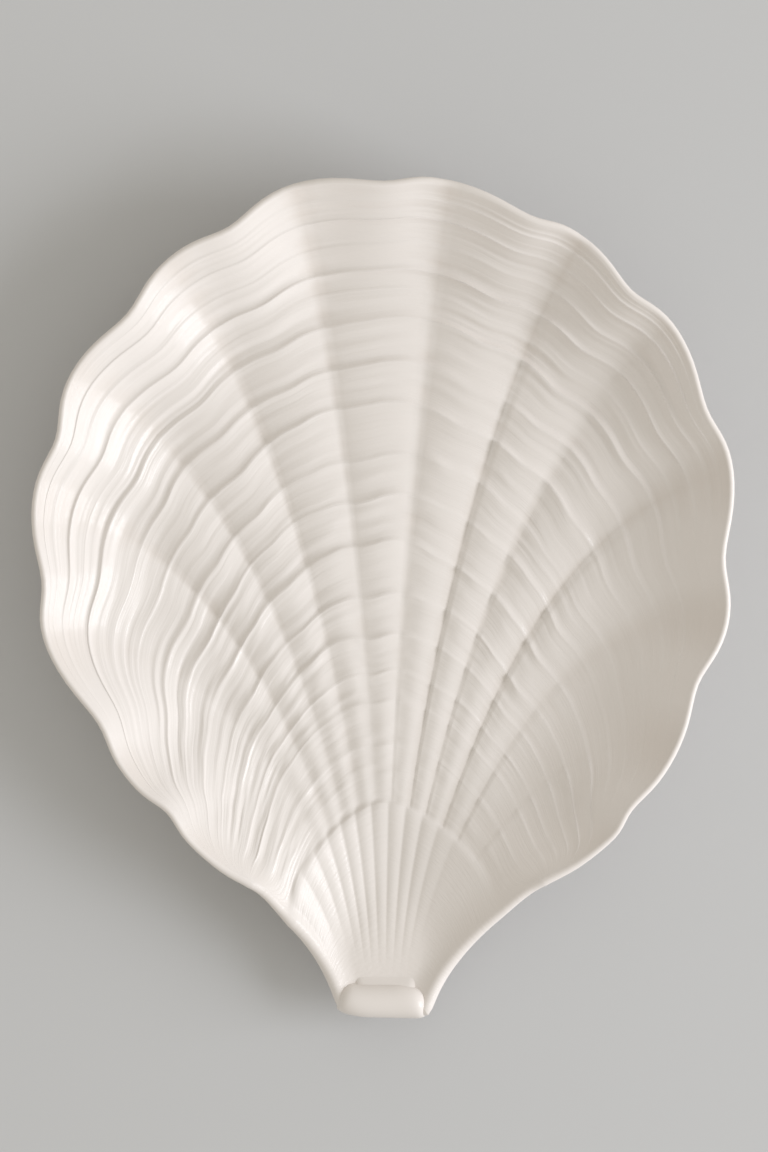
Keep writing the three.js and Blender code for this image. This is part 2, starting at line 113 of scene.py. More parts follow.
# Ribs of the bowl: crisp valleys next to the axis, and broad waves at the rim
RIBS_A_SIDE = 7
RIB_SHIFT = 0.5
RIB_STEEPNESS = 0.28
RIB_CRISP_TO = 3.2
RIB_CRISP_FADE = 2
RIB_RIGHT_GAIN = 0.1
RIB_SOFT_TO = 0.55
RIB_SOFT_SHARE = 0.9
RIB_WAVE_SHARE = 0.4
RIB_WAVE_START = 0.55
RIB_WAVE_AXIS_SHARE = 0.3
RIB_WAVE_FULL = 3
BACK_RIB_NEAR = 0.5
SIDE_CROWDING = 0.35
CROWN_PULL = 0.6
SIDE_PULL = 1
SIDE_PULL_RIB = 3.5
NECK_EDGE_ANGLE = 68
NECK_EDGE_POWER = 8

# Growth lines, as shares of the way from the fan to the rim on the axis, and how strong each one is
GROWTH_LINES = [
    0, 0.05, 0.095, 0.162, 0.205, 0.262, 0.32, 0.395, 0.465, 0.525,
    0.602, 0.668, 0.74, 0.785, 0.825, 0.875, 0.925, 0.965, 1,
]
GROWTH_STRENGTH = [0, 0.3, 0.6, 0.8, 0.7, 0.8, 1, 1.1, 1, 0.9, 1.1, 0.9, 1.2, 0.4, 1.1, 0.5, 0.9, 0.4, 0]
GROWTH_HEIGHT = 0.6
GROWTH_FALL = 2
GROWTH_FALL_MOST = 0.4
GROWTH_LIP_POWER = 3
GROWTH_FULL_PITCH = 5.5
GROWTH_FULL_RIB = 13
GROWTH_NARROW_SHARE = 0.75
GROWTH_CROWN_SHARE = 1.3
GROWTH_CROWN_TO = 0.2
GROWTH_FAN_SHARE = 0.75
GROWTH_FAN_TO = 0.3
GROWTH_SEED = 7

# Lines right of the axis: fainter near the fan, stronger near the rim, and strongest on the left of each rib
RIGHT_LINE_LOSS = 0.35
RIGHT_LINE_GAIN = 0.6
RIGHT_LINE_GAIN_FROM = 0.4
RIGHT_LINE_GAIN_TO = 0.75
RIGHT_LINE_TILT = 0.4

# Lines on the flanks: softer on the left, and next to none on the smooth outer part of the right
LEFT_FLANK_FROM = 3.5
LEFT_FLANK_TO = 5
LEFT_FLANK_FALL = 0.6
LEFT_FLANK_SHARE = 0.6
SMOOTH_FLANK_START = 4.6
SMOOTH_FLANK_SLANT = 2.2
SMOOTH_FLANK_WIDTH = 1.6
SMOOTH_FLANK_LOSS = 0.85
SMOOTH_FLANK_LINE = 6
SMOOTH_FLANK_LINE_FADE = 2

# Slow changes along a line: bulges at valleys, its strength, and its place by (rib turn, line turn, phase)
LINE_KINK = 0.03
LINE_KINK_FROM = 0.25
LINE_KINK_WIDTH = 0.5
LINE_CHANGE = 0.35
LINE_CHANGE_TURN = 0.9
LINE_CHANGE_POWER = 0.7
LINE_CHANGE_WAVES = 4
LINE_WANDER = 0.03
LINE_WANDER_TO = 3
LINE_WANDER_WAVES = [(1.3, 2.1, 0), (2.3, -1.7, 1)]

# Lines spread to the rim on either side, dip left of the axis, and run out into the rim next to the neck
LINE_SPREAD = 0.0265
LINE_SPREAD_POWER = 4
LINE_SPREAD_RIB_POWER = 3
LINE_SPREAD_RIB = 5.2
LINE_RUN_OUT = 0.97
LINE_RUN_OUT_START = 3.8
LINE_RUN_OUT_END = 7.05
LINE_RUN_OUT_POWER = 1.5
LINE_RUN_OUT_FIRST = 0.25
LINE_RUN_OUT_GAIN = 3.3
LINE_RUN_OUT_TO = 0.6
LINE_RUN_OUT_RIGHT = 1.2
LINE_LEAST_PITCH = 0.08
LINE_LEFT_SHIFT = 0.01
LINE_LEFT_WIDTH = 0.8
LINE_DIP = 0.012
LINE_DIP_PLACE = -0.3
LINE_DIP_WIDTH = 0.45
LINE_FADE_START = 6.1
LINE_FADE_WIDTH = 0.7

# Finer lines between them: (pitch, ribs to a change along the line, height), from a square of random values
FINE_LINES = [(4.4, 1.6, 0.36), (1.9, 1.2, 0.3)]
FINE_LINE_SQUARE = 128

# Foot ring; its sides round in to the tread through points (past the tread, height)
FOOT_MIDDLE_Y = 10
FOOT_RADIUS = 52
FOOT_TREAD = 3
FOOT_TOP_WIDTH = 5.5
FOOT_ROUNDING = [(0.75, 2.2), (0.35, 0.8), (0.12, 0.25), (0, 0)]
FOOT_STEPS = 192

# Rolled lip and ledge on the hinge end, sunk into the neck: corners are quarter ellipses, (width, depth)
STRIP_SINK = 1.3
STRIP_SQUARENESS = 8
LIP_MIDDLE_X = -0.6
LIP_HALF_LENGTH = 11.9
LIP_FRONT_Y = -101.3
LIP_END_Y = -110.6
LIP_END_SLANT = 0.02
LIP_EDGE = -1.2
LIP_HEIGHT = 3.8
LIP_FRONT_CORNERS = [(4.3, 5), (8.6, 4)]
LIP_END_CORNERS = [(9.2, 2.6), (2.6, 1.6)]
LEDGE_MIDDLE_X = 0.3
LEDGE_HALF_LENGTH = 8.1
LEDGE_FRONT_Y = -98.3
LEDGE_EDGE = -0.3
LEDGE_HEIGHT = 1.9
LEDGE_CORNERS = [(2, 2), (2, 2)]
LEDGE_TUCK = 1

# Grid steps
STRIP_ROWS = 48
STRIP_COLUMNS = 96
COLUMNS_A_RIB = 14
FAN_ROWS = 28
BAND_ROWS = [0, 0.05, 0.11, 0.18, 0.25, 0.32, 0.39, 0.46, 0.53, 0.6, 0.67, 0.74, 0.81, 0.87, 0.92, 0.965]
BACK_STRIDE = 5
EDGE_STEPS = 8
CORNER_SOFTNESS = 2
OUTLINE_STEPS_A_RIB = 28
OUTLINE_SIDE_STEPS = 60
LEAST_GAP = 1e-9

# Glaze: (place on the ramp, colour) in the hollows and on the backs of the relief, and striae along the lines
GLAZE_POOL = [(0.2, (0.81, 0.75, 0.7, 1)), (0.7, (0.86, 0.81, 0.77, 1))]
GLAZE_DEPTH = 0.8
GLAZE_ROUGHNESS = 0.18
GLAZE_SPECULAR = 0.2
STRIAE_UNIT = 10
STRIAE_STRETCH = (0.8, 10, 1)
STRIAE_STRENGTH = 0.24
STRIAE_HEIGHT = 0.5

# Bare clay: (place on the ramp, colour) of its dark and pale grains
CLAY_GRAINS = [(0.35, (0.5, 0.42, 0.31, 1)), (0.65, (0.64, 0.57, 0.45, 1))]
CLAY_GRAINS_A_METRE = 900
CLAY_ROUGHNESS = 0.7
CLAY_GRAIN_STRENGTH = 0.3
CLAY_GRAIN_HEIGHT = 0.2

# Studio: floor, sky, and a square lamp on the right, with its angles in degrees and its power in watts
FLOOR_HALF_WIDTH = 8000
FLOOR_COLOUR = (0.6, 0.6, 0.6, 1)
FLOOR_ROUGHNESS = 0.8
SKY_COLOUR = (1, 0.97, 0.9, 1)
SKY_STRENGTH = 0.6
LAMP_AZIMUTH = -8
LAMP_ELEVATION = 24
LAMP_DISTANCE = 1800
LAMP_SIZE = 1050
LAMP_POWER = 25.9
LAMP_COLOUR = (0.9, 0.93, 1)
LAMP_AIM_Z = 15

# Photograph's framing: 768 x 1152 pixels, straight down
MM_A_PIXEL = 0.2625
FRAME_WIDTH_PIXELS = 768
FRAME_MIDDLE_Y = 6
CAMERA_HEIGHT = 2400
CAMERA_SENSOR = 36
RIM_VIEW_Z = 24


def smooth(share):
    """Smoothstep of a share clipped to 0..1: 3 s^2 - 2 s^3."""
    share = np.clip(share, 0, 1)
    return share * share * (3 - 2 * share)


def mix(low, high, share):
    """Straight blend from low to high."""
    return low + (high - low) * share


def heading(angle):
    """Unit vector in the plan at an angle from +Y towards +X."""
    return np.stack([np.sin(angle), np.cos(angle)], -1)


def ease(start, end, leave, arrive, share):
    """Cubic from start to end, leaving and arriving along the given vectors."""
    share = share[..., None]
    far = share * share * (3 - 2 * share)
    return (start * (1 - far) + end * far
            + leave * share * (1 - share) ** 2 + arrive * share * share * (share - 1))


RIM_ANGLES = np.radians([-angle for angle, _ in RIM_LEFT] + [angle for angle, _ in RIM_RIGHT])
RIM_REACHES = np.array([reach for _, reach in RIM_LEFT + RIM_RIGHT]) - RIM_INSET
RIM_MARKS = BOWL_MIDDLE + heading(RIM_ANGLES) * RIM_REACHES[:, None]


def rim_curve(u):
    """Rim at rib place u: a smooth curve through the marks, two to a rib, that swells out between them."""
    last = len(RIM_MARKS) - 1
    place = np.clip((u + RIBS_A_SIDE) * 2, 0, last)
    mark = np.minimum(place.astype(int), last - 1)
    before, start, end, after = (RIM_MARKS[np.clip(mark + step, 0, last)] for step in (-1, 0, 1, 2))
    curve = ease(start, end, (end - before) / 2, (after - start) / 2, place - mark)
    outward = (curve - BOWL_MIDDLE) / np.linalg.norm(curve - BOWL_MIDDLE, axis=-1, keepdims=True)
    return curve + LOBE_FULLNESS * outward * (np.sin(np.pi * (place - mark)) ** 2)[..., None]


def rim_beside(u):
    """Rim at u, or past an end of it the rim turned about that end: 2 rim(end) - rim(2 end - u)."""
    inside = np.clip(u, -RIBS_A_SIDE, RIBS_A_SIDE)
    return 2 * rim_curve(inside) - rim_curve(2 * inside - u)


def fan_angle(u):
    """Angle of rib place u about the fan's root: even steps that open out next to the neck's edges."""
    edge = np.sign(u) * FAN_EDGE_ANGLE * np.abs(u / RIBS_A_SIDE) ** FAN_EDGE_POWER
    return np.radians(FAN_RIB_ANGLE * u + edge + FAN_SKEW * u * u)


def fan_edge(u):
    """Strong growth line: reach from the fan's root falls with the angle on either side of the crown."""
    angle = fan_angle(u)
    turn = np.hypot(np.degrees(angle), FAN_CROWN) - FAN_CROWN
    reach = FAN_REACH - np.where(u < 0, FAN_DROP_LEFT, FAN_DROP_RIGHT) * turn
    return FAN_ROOT + heading(angle) * reach[..., None]


def rim_heading(u):
    """Way in which rib place u meets the rim: out from the bowl's middle, turned to the neck at the ends."""
    angle = np.interp(u, np.linspace(-RIBS_A_SIDE, RIBS_A_SIDE, len(RIM_ANGLES)), RIM_ANGLES)
    neck = np.abs(u / RIBS_A_SIDE) ** NECK_EDGE_POWER
    return heading(mix(angle, np.sign(u) * math.radians(NECK_EDGE_ANGLE), neck))


def fan_plan(u, f):
    """Plan of the fan: f runs from the hinge end (0) to the strong growth line (1)."""
    x = TAB_HALF_WIDTH * u / RIBS_A_SIDE
    start = np.stack([x, TAB_Y - TAB_SLANT * x], -1)
    end = fan_edge(u)
    length = np.linalg.norm(end - start, axis=-1, keepdims=True)
    leave = heading(math.radians(TAB_FLARE) * u / RIBS_A_SIDE) * length
    return ease(start, end, leave, heading(fan_angle(u)) * length, f)


def bowl_plan(u, t):
    """Plan of the bowl: t runs from the strong growth line (0) to the rim (1) along ribs that bend out.

    The ribs head for the rim with its lobes evened out, and the lobes come in by a power of the way along.
    """
    start = fan_edge(u)
    rim = rim_curve(u)
    even = (rim_beside(u - 0.5) + 2 * rim + rim_beside(u + 0.5)) / 4
    length = np.linalg.norm(even - start, axis=-1, keepdims=True)
    pull = mix(CROWN_PULL, SIDE_PULL, np.minimum(1, np.abs(u) / SIDE_PULL_RIB))[..., None]
    along = np.clip(t, 0, 1) ** (1 - SIDE_CROWDING * (u / RIBS_A_SIDE) ** 2)
    plan = ease(start, even, heading(fan_angle(u)) * length, rim_heading(u) * pull * length, along)
    return plan + (rim - even) * (along ** LOBE_POWER)[..., None]


def edge_line():
    """Edge of the inner face: up the left neck, round the rim and down the right neck."""
    share = np.linspace(0, 1, OUTLINE_SIDE_STEPS, endpoint=False)
    around = np.linspace(-RIBS_A_SIDE, RIBS_A_SIDE, 2 * RIBS_A_SIDE * OUTLINE_STEPS_A_RIB + 1)
    left = np.full_like(share, -RIBS_A_SIDE)
    right = np.full_like(share, RIBS_A_SIDE)
    left_side = np.concatenate([fan_plan(left, share), bowl_plan(left, share)])
    right_side = np.concatenate([fan_plan(right, share), bowl_plan(right, share)])
    return np.concatenate([left_side, rim_curve(around), right_side[::-1]])


def border_run(points):
    """Way along a closed border at each of its points, over a few millimetres so that corners turn softly."""
    closed = np.concatenate([points, points[:1]])
    place = np.concatenate([[0], np.cumsum(np.linalg.norm(np.diff(closed, axis=0), axis=-1))])
    ahead = (place[:-1] + CORNER_SOFTNESS) % place[-1]
    behind = (place[:-1] - CORNER_SOFTNESS) % place[-1]
    return np.stack([np.interp(ahead, place, axis) - np.interp(behind, place, axis) for axis in closed.T], -1)


EDGE = edge_line()
EDGE_RUN = border_run(EDGE)
AXIS_LENGTH = RIM_MARKS[len(RIM_LEFT), 1] - FAN_ROOT[1] - FAN_REACH


def neck_share(points):
    """Share of the way from the neck's start (0) to the hinge end (1)."""
    return smooth((NECK_START_Y - points[..., 1]) / (NECK_START_Y - NECK_END_Y))


def dish(points):
    """Dished base of the inner face at points of the plan: height, nearness to the edge and facing.

    near = 1 - distance to the edge / wall width, and z = floor + neck's lift + rise * near^2. Close to the
    edge the facing follows the edge's soft run, so that it turns smoothly at the corners.
    """
    distance = np.full(points.shape[:-1], np.inf)
    inward = np.zeros(points.shape)
    for start, end, leave, arrive in zip(EDGE[:-1], EDGE[1:], EDGE_RUN[:-1], EDGE_RUN[1:]):
        run = end - start
        share = np.clip((points - start) @ run / (run @ run), 0, 1)
        offset = points - start - share[..., None] * run
        gap = np.linalg.norm(offset, axis=-1)
        soft_run = mix(leave, arrive, share[..., None])
        square = np.stack([soft_run[..., 1], -soft_run[..., 0]], -1)
        square /= np.linalg.norm(square, axis=-1, keepdims=True)
        away = np.where((gap > RIM_WALL)[..., None], offset / np.maximum(gap, LEAST_GAP)[..., None], square)
        closer = gap < distance
        distance = np.where(closer, gap, distance)
        inward = np.where(closer[..., None], away, inward)
    neck = neck_share(points)
    width = mix(WALL_WIDTH, TAB_WALL_WIDTH, neck)
    rise = mix(RIM_RISE, TAB_RISE, neck)
    near = np.maximum(0, 1 - distance / width)
    slope = (2 * rise * near / width)[..., None]
    facing = np.concatenate([inward * slope, np.ones_like(slope)], -1)
    facing /= np.linalg.norm(facing, axis=-1, keepdims=True)
    return FLOOR_Z + NECK_LIFT * neck + rise * near * near, near, facing


def across_rib(u, valley):
    """Place across a rib: -1 and 1 in the valleys beside it, 0 on its back."""
    place = u - valley - 0.5
    return 2 * (place - np.round(place))


def rib_width(plan, u, along):
    """Width of a rib in the plan at rib place u."""
    low = np.maximum(-RIBS_A_SIDE, u - 0.5)
    high = np.minimum(RIBS_A_SIDE, u + 0.5)
    return np.linalg.norm(plan(high, along) - plan(low, along), axis=-1) / (high - low)


def rib_height(width):
    """Height of a rib: a parabola's quarter of its edge slope times its width."""
    return RIB_STEEPNESS / 4 * width


def fan_relief(u, f):
    """Relief of the fan: fine round ribs that grow from the hinge, on a cap that thickens to its edge."""
    side = smooth((np.abs(u) - FAN_RIB_LATE_FROM) / (FAN_RIB_LATE_TO - FAN_RIB_LATE_FROM))
    shown = smooth((f - FAN_RIB_START - FAN_RIB_LATE * side) / FAN_RIB_LENGTH)
    shown = shown * mix(1, FAN_RIB_SIDE_SHARE, side)
    shown = shown * (1 - smooth((u - FAN_SMOOTH_FROM) / (FAN_SMOOTH_TO - FAN_SMOOTH_FROM)))
    across = across_rib(u, FAN_SHIFT)
    shape = mix(0.5 - across ** 2, np.cos(np.pi * across) / 2, FAN_RIB_SOFTNESS)
    edge = np.where(u < 0, -u - FAN_STEP_FADE_LEFT, u - FAN_STEP_FADE_RIGHT)
    step = mix(FAN_STEP_LEFT, FAN_STEP_RIGHT, smooth(u / FAN_STEP_TURN)) * (1 - smooth(edge / FAN_STEP_FADE))
    return FAN_RIB_GAIN * rib_height(rib_width(fan_plan, u, f)) * shape * shown + step * f ** FAN_STEP_POWER


def crisp_share(u):
    """How crisp the valleys are at rib place u: full next to the axis, none near the neck."""
    return 1 - smooth((np.abs(u) - RIB_CRISP_TO) / RIB_CRISP_FADE)


def line_share(u, band):
    """Share t of the way to the rim at a band count: t = 1 - (1 - g)^(1 + p), and a small part of g itself.

    g is the share on the axis. p is the spread, which grows with the ribs from the axis, and the run-out into
    the rim next to the neck. Lines bulge out at the valleys, by the square across a rib less its mean, 1 / 3.
    """
    bands = len(GROWTH_LINES) - 1
    waves = sum(np.sin(rib_turn * u + line_turn * band + phase)
                for rib_turn, line_turn, phase in LINE_WANDER_WAVES)
    wander = LINE_WANDER * waves * (1 - smooth(np.abs(u) - LINE_WANDER_TO))
    g = np.interp(band + wander * np.sin(np.pi * band / bands), np.arange(bands + 1), GROWTH_LINES)
    left = 1 - np.exp(-(np.minimum(0, u) / LINE_LEFT_WIDTH) ** 2)
    dip = np.exp(-((u - LINE_DIP_PLACE) / LINE_DIP_WIDTH) ** 2)
    g = g + (LINE_LEFT_SHIFT * left - LINE_DIP * dip) * 4 * g * (1 - g)
    left_over = LINE_RUN_OUT_END - np.maximum(LINE_RUN_OUT_START, np.abs(u))
    start = LINE_RUN_OUT_END - LINE_RUN_OUT_START
    run_out = LINE_RUN_OUT * (left_over ** -LINE_RUN_OUT_POWER - start ** -LINE_RUN_OUT_POWER)
    run_out = run_out * (LINE_RUN_OUT_FIRST + LINE_RUN_OUT_GAIN * np.minimum(g, LINE_RUN_OUT_TO))
    run_out = run_out * np.where(u > 0, LINE_RUN_OUT_RIGHT, 1)
    rib = np.abs(u) ** LINE_SPREAD_RIB_POWER
    spread = LINE_SPREAD * g ** LINE_SPREAD_POWER * rib / (1 + rib / LINE_SPREAD_RIB ** LINE_SPREAD_RIB_POWER)
    t = mix(1 - (1 - g) ** (1 + spread + run_out), g, LINE_LEAST_PITCH)
    length = np.linalg.norm(rim_curve(u) - fan_edge(u), axis=-1)
    kink = LINE_KINK * rib_width(bowl_plan, u, t) * (across_rib(u, RIB_SHIFT) ** 2 - 1 / 3)
    kink = kink * crisp_share(u) * smooth((np.abs(u) - LINE_KINK_FROM) / LINE_KINK_WIDTH)
    return t + kink * np.sin(np.pi * t) / length


def wavy(u, phases):
    """Slow wave along a line: the mean of sines, each shorter than the one before, with the given phases."""
    turns = LINE_CHANGE_TURN * np.arange(1, LINE_CHANGE_WAVES + 1) ** LINE_CHANGE_POWER
    return np.sin(u[..., None] * turns + phases).mean(-1)


def lattice_noise(x, y, chance):
    """Smooth noise from -1 to 1: random values at whole numbers of x and y, blended by smoothstep."""
    size = FINE_LINE_SQUARE
    values = chance.uniform(-1, 1, (size, size))
    column = np.floor(x).astype(int)
    row = np.floor(y).astype(int)
    across = smooth(x - column)
    low = mix(values[column % size, row % size], values[(column + 1) % size, row % size], across)
    high = mix(values[column % size, (row + 1) % size], values[(column + 1) % size, (row + 1) % size], across)
    return mix(low, high, smooth(y - row))


def line_height(number, u, phases, left_flank):
    """Height of growth lines by number: it changes slowly along a line and is less on the left flank."""
    change = 1 + LINE_CHANGE * wavy(u, phases[number])
    return GROWTH_HEIGHT * np.array(GROWTH_STRENGTH)[number] * change * mix(1, LEFT_FLANK_SHARE, left_flank)


def growth_relief(u, band):
    """Relief of the growth lines and of the finer lines between them: (main, fine).

    A growth line is a rise, by a power of the way along its band, that steepens to a crisp lip, and then a
    short fall, by the square. The finer lines are the crests of a noise along the lines, 1 - |noise|.
    """
    chance = np.random.default_rng(GROWTH_SEED)
    lines = len(GROWTH_LINES)
    phases = chance.uniform(0, 2 * np.pi, (lines, LINE_CHANGE_WAVES))
    line = np.minimum(band.astype(int), lines - 2)
    part = band - line
    left_flank = smooth((-u - LEFT_FLANK_FROM) / (LEFT_FLANK_TO - LEFT_FLANK_FROM))
    fall = np.minimum(GROWTH_FALL_MOST, GROWTH_FALL / (np.diff(GROWTH_LINES) * AXIS_LENGTH))[line]
    fall = mix(fall, LEFT_FLANK_FALL, left_flank)
    falling = line_height(line, u, phases, left_flank) * np.maximum(0, 1 - part / fall) ** 2
    rise = np.maximum(0, (part - fall) / (1 - fall)) ** GROWTH_LIP_POWER
    rising = line_height(line + 1, u, phases, left_flank) * rise
    along = np.interp(band, np.arange(lines), GROWTH_LINES) * AXIS_LENGTH
    fine = sum(height * (1 - np.abs(lattice_noise(along / pitch, u / ribs, chance)))
               for pitch, ribs, height in FINE_LINES)
    return falling + rising, fine


def bowl_ribs(u, t, width):
    """Relief of the bowl's ribs: crisp parabolas, 1/2 - across^2, that turn into cosines at the rim."""
    across = across_rib(u, RIB_SHIFT)
    wave = smooth((t - RIB_WAVE_START) / (1 - RIB_WAVE_START))
    wave = wave * mix(RIB_WAVE_AXIS_SHARE, 1, smooth(np.abs(u) / RIB_WAVE_FULL))
    round_back = np.cos(np.pi * across) / 2
    soft = RIB_SOFT_SHARE * (1 - smooth(t / RIB_SOFT_TO))
    crisp = mix(0.5 - across ** 2, round_back, soft) * crisp_share(u)
    height = rib_height(width) * (1 + RIB_RIGHT_GAIN * smooth(u))
    return height * mix(crisp, RIB_WAVE_SHARE * round_back, wave)


def line_strength(u, t, band, plan, width):
    """How strong the growth lines are: a product of shares for their pitch, the rib, the side and the fan."""
    pitch = np.linalg.norm(np.gradient(plan, band[:, 0], axis=0), axis=-1)
    shown = smooth(pitch / GROWTH_FULL_PITCH) * mix(GROWTH_NARROW_SHARE, 1, smooth(width / GROWTH_FULL_RIB))
    crown = mix(GROWTH_CROWN_SHARE, 1, smooth(np.abs(u) - GROWTH_CROWN_TO))
    outward = smooth((t - RIGHT_LINE_GAIN_FROM) / (RIGHT_LINE_GAIN_TO - RIGHT_LINE_GAIN_FROM))
    gain = mix(-RIGHT_LINE_LOSS, RIGHT_LINE_GAIN, outward)
    right = 1 + (gain - RIGHT_LINE_TILT * across_rib(u, RIB_SHIFT)) * smooth(u)
    run_out = 1 - smooth((np.abs(u) - LINE_FADE_START) / LINE_FADE_WIDTH)
    near_fan = mix(GROWTH_FAN_SHARE, 1, smooth(t / GROWTH_FAN_TO))
    return shown * crown * right * run_out * near_fan


def bowl_relief(u, t, band, plan):
    """Relief of the bowl, (ribs, growth lines); next to the fan it starts from the fan's edge."""
    width = rib_width(bowl_plan, u, t)
    rib = bowl_ribs(u, t, width)
    main, fine = growth_relief(u, band)
    flank = (u + SMOOTH_FLANK_SLANT * t - SMOOTH_FLANK_START) / SMOOTH_FLANK_WIDTH
    loss = SMOOTH_FLANK_LOSS * smooth(flank)
    outer = smooth((band - SMOOTH_FLANK_LINE) / SMOOTH_FLANK_LINE_FADE)
    growth = main * (1 - loss * outer) + fine * (1 - loss)
    growth = growth * line_strength(u, t, band, plan, width)
    from_arc = t * np.linalg.norm(rim_curve(u) - fan_edge(u), axis=-1)
    return rib, mix(fan_relief(u, np.ones_like(u)) - rib, growth, smooth(from_arc / FAN_FALL))


def shell_grid():
    """Grid of the shell's two faces: rows run from the hinge end through the fan and the bands to the rim."""
    u = np.linspace(-RIBS_A_SIDE, RIBS_A_SIDE, 2 * RIBS_A_SIDE * COLUMNS_A_RIB + 1)[None, :]
    f = np.linspace(0, 1, FAN_ROWS + 1)[:, None]
    bands = len(GROWTH_LINES) - 1
    band = np.append((np.arange(bands)[:, None] + BAND_ROWS).ravel()[1:], bands)[:, None]
    fan_u, fan_f = np.broadcast_arrays(u, f)
    bowl_u, bowl_band = np.broadcast_arrays(u, band)
    bowl_t = line_share(bowl_u, bowl_band)
    bowl = bowl_plan(bowl_u, bowl_t)
    rib, growth = bowl_relief(bowl_u, bowl_t, bowl_band, bowl)
    plan = np.concatenate([fan_plan(fan_u, fan_f), bowl])
    front = np.concatenate([fan_relief(fan_u, fan_f), rib + growth])
    back = np.concatenate([np.zeros_like(fan_u), rib])
    growth_place = np.interp(bowl_band, np.arange(bands + 1), GROWTH_LINES) * AXIS_LENGTH
    reach = np.concatenate([fan_f * FAN_REACH, FAN_REACH + growth_place])
    return plan, front, back, np.concatenate([fan_u, bowl_u]), reach


def mesh_piece(name, points, faces, uv=None, depth=None):
    """Mesh object from points in millimetres and faces, with smooth shading."""
    mesh = bpy.data.meshes.new(name)
    mesh.from_pydata((points * MM).tolist(), [], faces)
    mesh.shade_smooth()
    if uv is not None:
        corners = np.empty(len(mesh.loops), np.int32)
        mesh.loops.foreach_get("vertex_index", corners)
        layer = mesh.uv_layers.new(name="shell")
        layer.uv.foreach_set("vector", uv[corners].ravel().astype(np.float32))
    if depth is not None:
        mesh.attributes.new("depth", "FLOAT", "POINT").data.foreach_set("value", depth.astype(np.float32))
    mesh.validate()
    piece = bpy.data.objects.new(name, mesh)
    bpy.context.scene.collection.objects.link(piece)
    return piece


def quads(index):
    """Quads of a grid of vertex numbers, facing up where columns run to +X and rows to +Y."""
    return np.stack([index[:-1, :-1], index[:-1, 1:], index[1:, 1:], index[1:, :-1]], -1).reshape(-1, 4)


def shell_body():
    """Shell: front grid, coarser back grid, and a half-round lip that joins their borders.

    The back lies below the front's base by the wall, square to it. Across, the lip is half a circle.
    """
    plan, front, back, u, reach = shell_grid()
    base, near, facing = dish(plan)
    upper = np.concatenate([plan, (base + front)[..., None]], -1)
    wall = mix(FLOOR_WALL, mix(RIM_WALL, TAB_EDGE_WALL, neck_share(plan)), near)[..., None]
    rib = back * smooth(near / BACK_RIB_NEAR)
    lower = np.concatenate([plan, (base + rib)[..., None]], -1) - wall * facing
    rows, columns = u.shape
    number = np.arange(rows * columns).reshape(rows, columns)

    border = np.concatenate([number[0, :-1], number[:-1, -1], number[-1, :0:-1], number[:0:-1, 0]])
    top = upper.reshape(-1, 3)[border]
    bottom = lower.reshape(-1, 3)[border]
    run = border_run(top)
    half = (top - bottom) / 2
    radius = np.linalg.norm(half, axis=-1, keepdims=True)
    outward = np.stack([run[:, 1], -run[:, 0], np.zeros(len(run))], -1)
    outward -= half * (outward * half).sum(-1, keepdims=True) / radius ** 2
    outward *= radius / np.linalg.norm(outward, axis=-1, keepdims=True)
    turn = (np.pi * np.arange(1, EDGE_STEPS) / EDGE_STEPS)[:, None, None]
    lip = (top + bottom) / 2 + half * np.cos(turn) + outward * np.sin(turn)

    kept = np.unique(np.append(np.arange(0, rows, BACK_STRIDE), rows - 1))
    back_row = np.searchsorted(kept, np.arange(rows))
    nearer_before = np.arange(rows) - kept[np.maximum(back_row - 1, 0)] < kept[back_row] - np.arange(rows)
    back_row = back_row - (nearer_before & (back_row > 0))
    lip_start = rows * columns
    lip_count = lip.shape[0] * len(border)
    back_start = lip_start + lip_count
    back_number = back_start + np.arange(len(kept) * columns).reshape(len(kept), columns)

    lip_number = lip_start + np.arange(lip_count).reshape(lip.shape[:2])
    chain = np.concatenate([border[None], lip_number])
    chain = np.concatenate([chain, chain[:, :1]], 1)
    meeting = back_number[back_row[border // columns], border % columns]
    meeting = np.append(meeting, meeting[0])
    last = chain[-1]
    apart = meeting[:-1] != meeting[1:]
    seam_quads = np.stack([last[:-1], meeting[:-1], meeting[1:], last[1:]], -1)[apart]
    seam_triangles = np.stack([last[:-1], meeting[:-1], last[1:]], -1)[~apart]
    lip_faces = np.stack([chain[:-1, :-1], chain[1:, :-1], chain[1:, 1:], chain[:-1, 1:]], -1).reshape(-1, 4)

    points = np.concatenate([upper.reshape(-1, 3), lip.reshape(-1, 3), lower[kept].reshape(-1, 3)])
    place = np.stack([u, reach / STRIAE_UNIT], -1)
    lip_place = np.tile(place.reshape(-1, 2)[border], (lip.shape[0], 1))
    uv = np.concatenate([place.reshape(-1, 2), lip_place, place[kept].reshape(-1, 2)])
    depth = np.concatenate([front.ravel(), np.zeros(lip_count), back[kept].ravel()])
    faces = [*quads(number).tolist(), *lip_faces.tolist(), *seam_quads.tolist(), *seam_triangles.tolist(),
             *quads(back_number)[:, ::-1].tolist()]
    return mesh_piece("shell_body_glazed", points, faces, uv, depth)


def pillow(along, across):
    """Share of a pillow's height: sqrt((1 - across^n) (1 - along^2)), with an even power n."""
    return np.sqrt((1 - across ** STRIP_SQUARENESS) * (1 - along ** 2))


def ramp(along, across):
    """Share of a ledge's height: a smoothstep from its end to its front, times sqrt(1 - across^n)."""
    return smooth((1 - along) / 2) * np.sqrt(1 - across ** STRIP_SQUARENESS)


def corner_cut(x, half_length, corners):
    """Depth that the corners take off a strip's edge at x: quarter ellipses at its left and right ends."""
    (left_width, left_depth), (right_width, right_depth) = corners
    width = np.where(x < 0, left_width, right_width)
    depth = np.where(x < 0, left_depth, right_depth)
    share = np.clip((np.abs(x) - half_length + width) / width, 0, 1)
    return depth * (1 - np.sqrt(1 - share ** 2))


